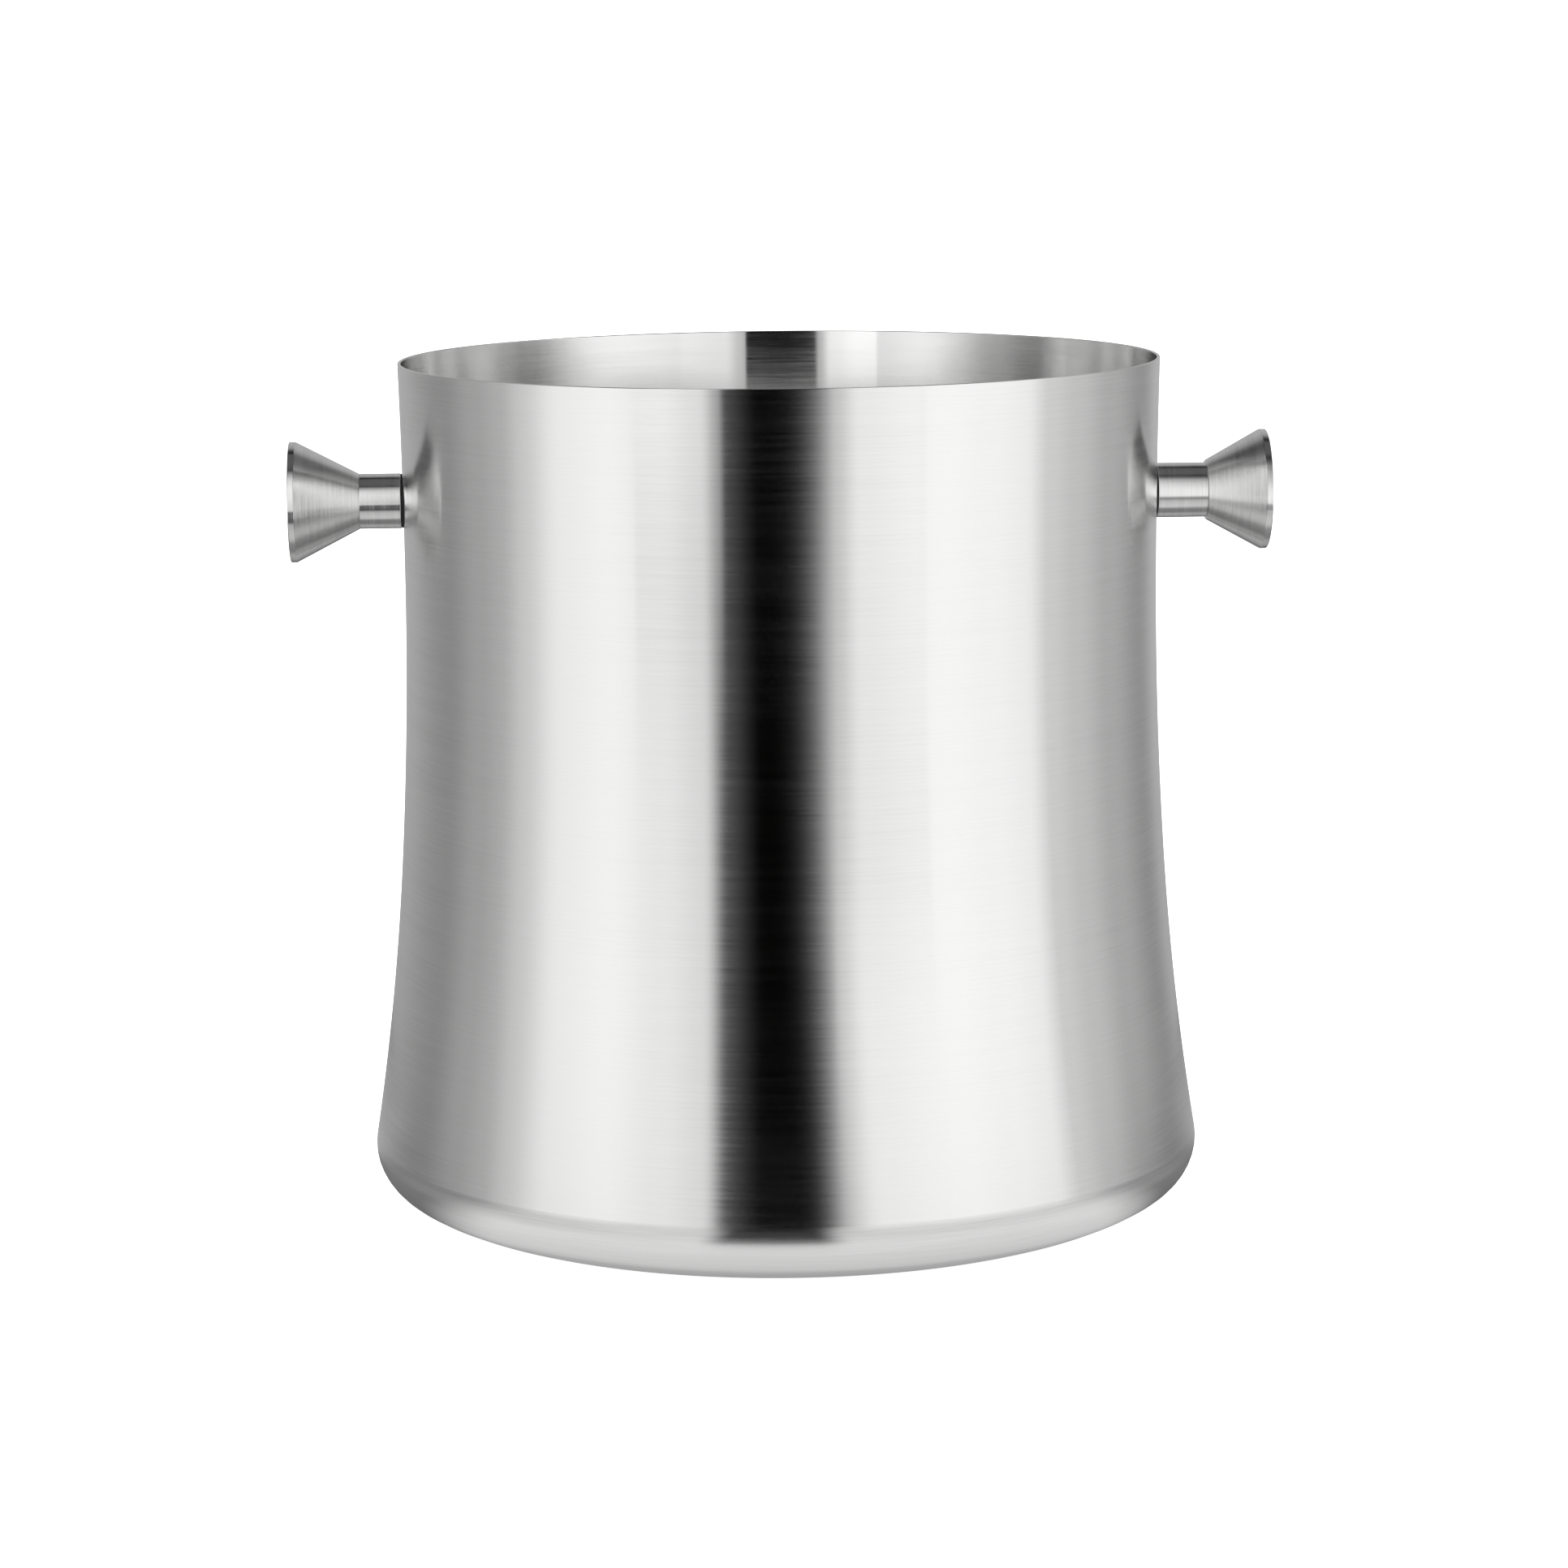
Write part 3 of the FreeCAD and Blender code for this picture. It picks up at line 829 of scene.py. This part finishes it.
SLOT_FINISHES = {
    "brushed_sheet": ("brushed finish", brushed_sheet),
    "turned_steel": ("turned finish", turned_steel),
    "screw_steel": ("screw finish", screw_steel),
    "seal_rubber": ("seal finish", seal_rubber),
}


def finish_of(slot, scene):
    """The material of a slot, made once. The frame's plain materials already have the slots' names."""
    name, maker = SLOT_FINISHES[slot]
    return bpy.data.materials.get(name) or maker(name, scene.bucket_finishes)


def glow(name, strength, around, upward):
    """A white light whose brightness goes through stops along its width and its height."""
    recipe = Recipe(name)
    across, up, _ = recipe.parts(recipe.node("ShaderNodeTexCoord", None, None, "UV"))
    light = recipe.ramp(across, around) * recipe.ramp(up, upward)
    sockets = {"Color": light, "Strength": strength}
    return recipe.finish(recipe.node("ShaderNodeEmission", None, sockets))


def floor_paper(light):
    """Pale matt paper that shines a little of itself."""
    recipe = Recipe("floor_paper")
    fibre = recipe.speckle(300, 4.0)
    sockets = {
        "Base Color": recipe.tinted((0.93, 0.93, 0.93), 1 + fibre * 0.02),
        "Roughness": 0.9 + fibre * 0.05,
        "Specular IOR Level": 0.1,
        "Emission Color": (1.0, 1.0, 1.0, 1.0),
        "Emission Strength": light,
    }
    return recipe.finish(recipe.node("ShaderNodeBsdfPrincipled", None, sockets))


# ---------------------------------------------------------------- studio


def surface(name, columns, rows, place, material):
    """A stage mesh whose points come from a function of two shares."""
    mesh = bpy.data.meshes.new(name)
    points = [place(u / columns, v / rows) for u in range(columns + 1) for v in range(rows + 1)]
    faces = []
    corners = []
    for u in range(columns):
        for v in range(rows):
            ring = [(u, v), (u + 1, v), (u + 1, v + 1), (u, v + 1)]
            faces.append([a * (rows + 1) + b for a, b in ring])
            corners += [(a / columns, b / rows) for a, b in ring]
    mesh.from_pydata(points, [], faces)
    layer = mesh.uv_layers.new(name=UV_NAME)
    for point, corner in zip(layer.data, corners):
        point.uv = corner
    mesh.materials.append(material)
    obj = bpy.data.objects.new(name, mesh)
    bpy.context.scene.collection.objects.link(obj)
    return obj


def light_card(name, place, material):
    """A card that is seen only in the metal."""
    card = surface(name, 64, 8, place, material)
    card.visible_camera = False
    card.visible_diffuse = False
    card.visible_shadow = False


def standing_card(name, size, lights, upward, strength, leans=(0, 0)):
    """A card that curves round the bucket, from its first light's bearing to its last light's.

    The leans say how many degrees each upright edge moves for each metre of height.
    """
    radius, low, high = size
    start = lights[0][0]
    end = lights[-1][0]
    around = [((bearing - start) / (end - start), light) for bearing, light in lights]

    def place(u, v):
        level = low + (high - low) * v
        edges = (start + leans[0] * level, end + leans[1] * level)
        bearing = math.radians(edges[0] + (edges[1] - edges[0]) * u)
        return (radius * math.sin(bearing), -radius * math.cos(bearing), level)

    light_card(name, place, glow(name, strength, around, upward))


def flat_card(name, size, lights, outward, strength):
    """A level ring round the bucket's axis, or a disc if its inner radius is 0."""
    inner, outer, level = size
    around = [(0.5 + bearing / 360, light) for bearing, light in lights]

    def place(u, v):
        bearing = FULL_TURN * (u - 0.5)
        radius = inner + (outer - inner) * v
        return (radius * math.sin(bearing), -radius * math.cos(bearing), level)

    light_card(name, place, glow(name, strength, around, outward))


FLOOR_WIDTH = 12.0
FLOOR_LEVEL = -0.1 * MM
TABLE_LEVEL = -0.2 * MM

# Standing cards: radius, level of the lower edge and level of the upper edge.
PANEL_SIZE = (1.6, -2.4, 2.4)
LEFT_KNOB_SIZE = (0.3, 0.135, 1.05)
RIGHT_KNOB_SIZE = (0.3, 0.08, 1.0)
BACKDROP_SIZE = (1.7, -3.6, 3.6)
LOW_SIZE = (1.5, -2.4, -0.8)

# Flat cards: inner radius, outer radius and level.
DEEP_SIZE = (0.0, 1.6, -2.4)
FOOT_SIZE = (0.0, 0.13, TABLE_LEVEL)
RING_SIZE = (0.13, 0.29, TABLE_LEVEL)
CEILING_SIZE = (0.0, 1.0, 2.6)

KNOB_CARD_LIGHT = 1.4
FOOT_LIGHT = 0.78

# The lights are bearings in degrees from the front, to the right if they are positive, with a
# brightness at each. The heights are shares of a standing card's height, from its lower edge, and the
# widths are shares of a flat card's width, from its inner edge.
LEFT_LIGHTS = (
    (-89.5, 0.5),
    (-83.5, 0.64),
    (-69, 0.95),
    (-53, 1.02),
    (-37, 0.9),
    (-25, 0.78),
    (-18.5, 0.06),
    (-10, 0.005),
)
RIGHT_LIGHTS = (
    (2, 0.005),
    (7.2, 0.06),
    (12.8, 0.62),
    (19.8, 0.95),
    (46, 1.06),
    (62, 1.01),
    (74, 0.95),
    (81, 0.75),
)
LEFT_KNOB_LIGHTS = ((-39, 0.9), (-32, 0.9), (-22, 0.78), (-17.5, 0.4), (-15.8, 0.06))
RIGHT_KNOB_LIGHTS = ((9.5, 0.5), (11.1, 0.62), (17.4, 0.93), (34, 1.02))
BACK_LIGHTS = (
    (70, 0.75),
    (84, 0.7),
    (95, 0.6),
    (112, 0.45),
    (135, 0.31),
    (154, 0.44),
    (180, 0.42),
    (204, 0.4),
    (240, 0.28),
    (257, 0.39),
    (268, 0.47),
    (292, 0.55),
)
LOW_LIGHTS = ((-34, 0.5), (-7, 0.5), (12, 0.58), (30, 0.58))
PANEL_HEIGHTS = (
    (0.0, 0.05),
    (0.2, 0.12),
    (0.27, 0.45),
    (0.305, 0.62),
    (0.325, 0.35),
    (0.375, 0.35),
    (0.405, 0.88),
    (0.5, 1.03),
    (0.56, 1.0),
    (0.66, 0.85),
    (0.76, 0.6),
    (0.86, 0.2),
    (1.0, 0.05),
)
BACK_HEIGHTS = (
    (0.0, 0.04),
    (0.34, 0.08),
    (0.42, 0.5),
    (0.46, 0.85),
    (0.5, 1.0),
    (0.66, 1.0),
    (0.78, 0.75),
    (0.88, 0.2),
    (0.97, 0.05),
)
LEFT_KNOB_HEIGHTS = (
    (0.0, 0.62),
    (0.03, 0.7),
    (0.15, 0.9),
    (0.23, 0.98),
    (0.34, 0.9),
    (0.5, 0.6),
    (0.62, 0.35),
    (0.75, 0.08),
    (1.0, 0.02),
)
RIGHT_KNOB_HEIGHTS = (
    (0.0, 0.66),
    (0.05, 0.7),
    (0.15, 0.7),
    (0.27, 0.66),
    (0.4, 0.54),
    (0.6, 0.22),
    (0.8, 0.07),
    (1.0, 0.03),
)
LOW_HEIGHTS = ((0.0, 0.85), (0.7, 1.0), (0.9, 1.0), (1.0, 0.3))
DEEP_LIGHTS = (
    (-180, 0.6),
    (-100, 0.45),
    (-60, 0.7),
    (-30, 1),
    (30, 1),
    (60, 0.7),
    (100, 0.45),
    (180, 0.6),
)
DEEP_WIDTHS = ((0.0, 0.42), (0.3, 0.45), (0.75, 0.46), (1.0, 0.46))
# The table ring glows with a lit table's painted light: painted shade of the bucket and knobs where it
# dims beside the knobs' bearings, and dark in front between -12.5 and 2.5 degrees.
RING_LIGHTS = (
    (-180, 0.38),
    (-120, 0.4),
    (-98, 0.22),
    (-75, 0.26),
    (-55, 0.6),
    (-17.5, 0.68),
    (-12.5, 0.04),
    (2.5, 0.04),
    (8.5, 0.7),
    (55, 0.7),
    (75, 0.28),
    (98, 0.22),
    (120, 0.4),
    (180, 0.38),
)
RING_WIDTHS = ((0.0, 1.0), (0.6, 0.8), (1.0, 0.6))
# The middle disc glows with painted light too: painted shade of the bucket and knobs beside the knobs'
# bearings, and painted shade that darkens it towards the bucket's foot.
FOOT_LIGHTS = (
    (-180, 0.5),
    (-110, 0.25),
    (-75, 0.25),
    (-50, 1),
    (50, 1),
    (75, 0.25),
    (110, 0.25),
    (180, 0.5),
)
FOOT_WIDTHS = ((0.64, 0.2), (0.68, 0.25), (0.74, 0.5), (0.81, 0.82), (0.9, 0.93), (1.0, 1.0))
EVEN_LIGHTS = ((-180, 1), (180, 1))
EVEN_WIDTHS = ((0.0, 1.0), (1.0, 1.0))


def make_floor(settings):
    """The white paper that the bucket stands on."""

    def place(u, v):
        return (FLOOR_WIDTH * (u - 0.5), FLOOR_WIDTH * (v - 0.5), FLOOR_LEVEL)

    floor = surface("floor", 2, 2, place, floor_paper(settings.floor_light))
    floor.visible_glossy = False


def make_panels(settings):
    """The two panels in front with a dark gap between them, and a card for each knob."""
    panel = settings.panel_light
    knob = KNOB_CARD_LIGHT * panel
    standing_card("left_panel", PANEL_SIZE, LEFT_LIGHTS, PANEL_HEIGHTS, panel, leans=(17, 0))
    standing_card("right_panel", PANEL_SIZE, RIGHT_LIGHTS, PANEL_HEIGHTS, panel, leans=(16, 0))
    standing_card("left_knob_card", LEFT_KNOB_SIZE, LEFT_KNOB_LIGHTS, LEFT_KNOB_HEIGHTS, knob)
    standing_card("right_knob_card", RIGHT_KNOB_SIZE, RIGHT_KNOB_LIGHTS, RIGHT_KNOB_HEIGHTS, knob)


def make_backdrop(settings):
    """The card that closes the room behind the bucket."""
    standing_card("backdrop", BACKDROP_SIZE, BACK_LIGHTS, BACK_HEIGHTS, settings.backdrop_light)


def make_table(settings):
    """The lit table: a card and a disc far below, and a disc and a ring close under the bucket, whose
    glow holds painted shade of the bucket and its knobs.
    """
    table = settings.table_light
    standing_card("low_card", LOW_SIZE, LOW_LIGHTS, LOW_HEIGHTS, table)
    flat_card("deep_table", DEEP_SIZE, DEEP_LIGHTS, DEEP_WIDTHS, table)
    flat_card("table_middle", FOOT_SIZE, FOOT_LIGHTS, FOOT_WIDTHS, FOOT_LIGHT * table)
    flat_card("table_ring", RING_SIZE, RING_LIGHTS, RING_WIDTHS, table)


def make_ceiling(settings):
    """The dim disc above the bucket."""
    flat_card("ceiling", CEILING_SIZE, EVEN_LIGHTS, EVEN_WIDTHS, settings.ceiling_light)


def make_world(settings):
    """The white room round the bucket, which isn't seen in the metal."""
    world = bpy.data.worlds.new("white_room")
    world.use_nodes = True
    background = world.node_tree.nodes["Background"]
    background.inputs["Color"].default_value = (1.0, 1.0, 1.0, 1.0)
    background.inputs["Strength"].default_value = settings.room_light
    bpy.context.scene.world = world
    world.cycles_visibility.glossy = False


def make_camera(settings):
    """The camera, which looks slightly down on the bucket from the front."""
    turn = settings.camera_turn
    front = settings.camera_distance
    place = Vector((front * math.sin(turn), -front * math.cos(turn), settings.camera_height))
    across = Vector((math.cos(turn), math.sin(turn), 0.0))
    aim = settings.aim_side * across + Vector((0.0, 0.0, settings.aim_height))
    back = (place - aim).normalized()
    right = Vector((0.0, 0.0, 1.0)).cross(back).normalized()
    up = back.cross(right)
    roll = settings.camera_roll
    rolled_right = math.cos(roll) * right + math.sin(roll) * up
    rolled_up = math.cos(roll) * up - math.sin(roll) * right
    turned_axes = Matrix((rolled_right, rolled_up, back)).transposed().to_4x4()
    camera = bpy.data.objects.new("camera", bpy.data.cameras.new("camera"))
    camera.matrix_world = Matrix.Translation(place) @ turned_axes
    camera.data.sensor_width = 36
    camera.data.lens = settings.lens
    bpy.context.scene.collection.objects.link(camera)
    bpy.context.scene.camera = camera


# ---------------------------------------------------------------- operators and panel


class BUCKET_OT_wall(bpy.types.Operator):
    """Build the bucket's wall from its section and drill the two screw holes"""

    bl_idname = "bucket.wall"
    bl_label = "Bucket Wall"

    def execute(self, context):
        make_wall(context.scene)
        return {"FINISHED"}


class BUCKET_OT_knobs(bpy.types.Operator):
    """Build the two knobs, each a neck tube and a cone head"""

    bl_idname = "bucket.knobs"
    bl_label = "Knobs"

    def execute(self, context):
        scene = context.scene
        for side in SIDES:
            make_cone(scene, side)
            make_ring(scene, side, "neck_sleeve", scene.knob_sizes.neck_edge, "turned_steel")
        return {"FINISHED"}


class BUCKET_OT_fastenings(bpy.types.Operator):
    """Build the screws and washers inside the bucket, and finish the rubber seals"""

    bl_idname = "bucket.fastenings"
    bl_label = "Fastenings"

    def execute(self, context):
        scene = context.scene
        for side in SIDES:
            make_screw(scene, side)
            make_ring(scene, side, "washer", scene.knob_sizes.washer_edge, "screw_steel")
            finish_seals(scene, side)
        return {"FINISHED"}


class BUCKET_OT_studio(bpy.types.Operator):
    """Set up the floor, the light cards and the camera"""

    bl_idname = "bucket.studio"
    bl_label = "Studio"

    def execute(self, context):
        settings = context.scene.bucket_studio
        make_floor(settings)
        make_panels(settings)
        make_backdrop(settings)
        make_table(settings)
        make_ceiling(settings)
        make_world(settings)
        make_camera(settings)
        context.scene.view_settings.view_transform = "Standard"
        return {"FINISHED"}


class BUCKET_PT_panel(bpy.types.Panel):
    """Lists the bucket's operators"""

    bl_idname = "BUCKET_PT_panel"
    bl_label = "Champagne Bucket"
    bl_space_type = "VIEW_3D"
    bl_region_type = "UI"
    bl_category = "Bucket"

    def draw(self, context):
        for operator in OPERATORS:
            self.layout.operator(operator.bl_idname)


GROUPS = {
    "bucket_sizes": BucketSizes,
    "knob_sizes": KnobSizes,
    "bucket_finishes": Finishes,
    "bucket_studio": StudioSettings,
}
OPERATORS = (BUCKET_OT_wall, BUCKET_OT_knobs, BUCKET_OT_fastenings, BUCKET_OT_studio)


def register():
    """Registers the property groups, the operators and the panel."""
    for name, group in GROUPS.items():
        bpy.utils.register_class(group)
        setattr(bpy.types.Scene, name, bpy.props.PointerProperty(type=group))
    for made in (*OPERATORS, BUCKET_PT_panel):
        bpy.utils.register_class(made)


def unregister():
    """Takes away what register adds, in the opposite order."""
    for made in (BUCKET_PT_panel, *reversed(OPERATORS)):
        bpy.utils.unregister_class(made)
    for name, group in GROUPS.items():
        delattr(bpy.types.Scene, name)
        bpy.utils.unregister_class(group)


def main():
    """Builds the bucket and its studio."""
    register()
    bpy.ops.bucket.wall()
    bpy.ops.bucket.knobs()
    bpy.ops.bucket.fastenings()
    bpy.ops.bucket.studio()


if __name__ == "__main__":
    main()
